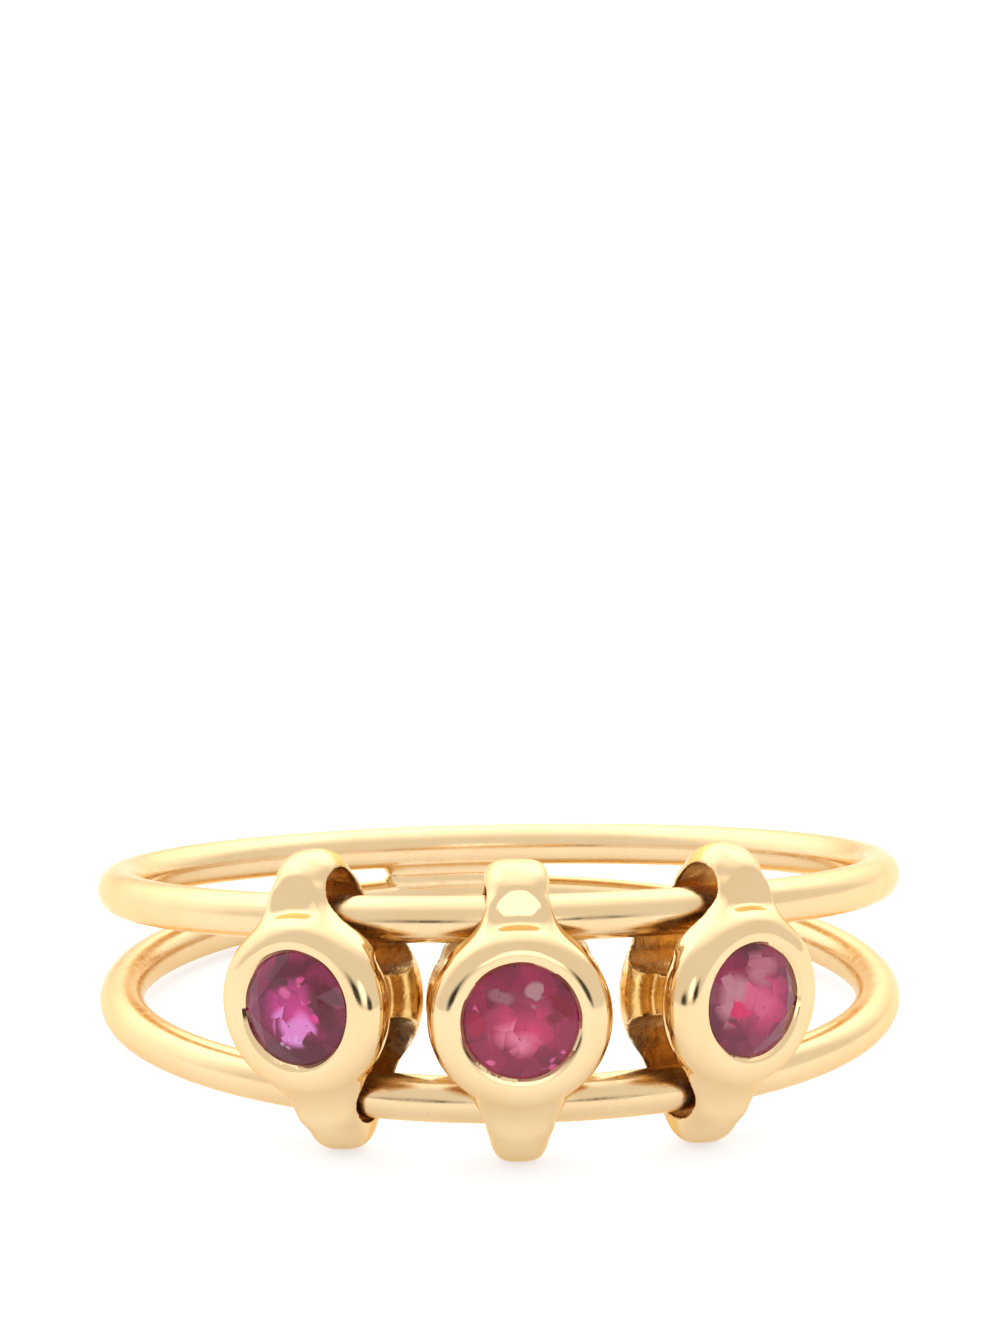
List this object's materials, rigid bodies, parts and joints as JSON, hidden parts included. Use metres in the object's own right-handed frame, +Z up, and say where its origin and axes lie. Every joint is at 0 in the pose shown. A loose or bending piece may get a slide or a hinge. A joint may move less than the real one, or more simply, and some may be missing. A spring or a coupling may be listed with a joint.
{
  "type": "gemstone finger ring",
  "caption": "Polished gold finger ring of twin wire hoops with loose bezel-set ruby beads threaded on both wires, lying on its side.",
  "frame": {"origin": "on the table, under the middle of the ring's bounding box", "axes": "+Z up from the table, -Y towards the front with the stones, +X to the right seen from the front; the finger axis leans 7.1 degrees back from +Z towards +Y"},
  "size_m": [0.0192, 0.0204, 0.0068],
  "materials": {
    "gold": "polished",
    "ruby": "faceted, polished",
    "pink_ruby": "faceted, polished"
  },
  "bodies": {
    "shank": {"shank": "gold"},
    "left_bead": {"left_setting": "gold", "left_ruby": "pink_ruby"},
    "middle_bead": {"middle_setting": "gold", "middle_ruby": "ruby"},
    "right_bead": {"right_setting": "gold", "right_ruby": "ruby"}
  },
  "joints": [
    {"name": "middle_slide", "type": "hinge", "parent": "shank", "child": "middle_bead", "pos_m": [0, 0.00064, 0.00231], "axis": [0, 0.1236, 0.9923], "range_deg": [-20, 20]},
    {"name": "left_slide", "type": "hinge", "parent": "middle_bead", "child": "left_bead", "pos_m": [0, 0.00064, 0.00231], "axis": [0, 0.1236, 0.9923], "range_deg": [-20, 0]},
    {"name": "right_slide", "type": "hinge", "parent": "middle_bead", "child": "right_bead", "pos_m": [0, 0.00064, 0.00231], "axis": [0, 0.1236, 0.9923], "range_deg": [-1, 24]}
  ]
}
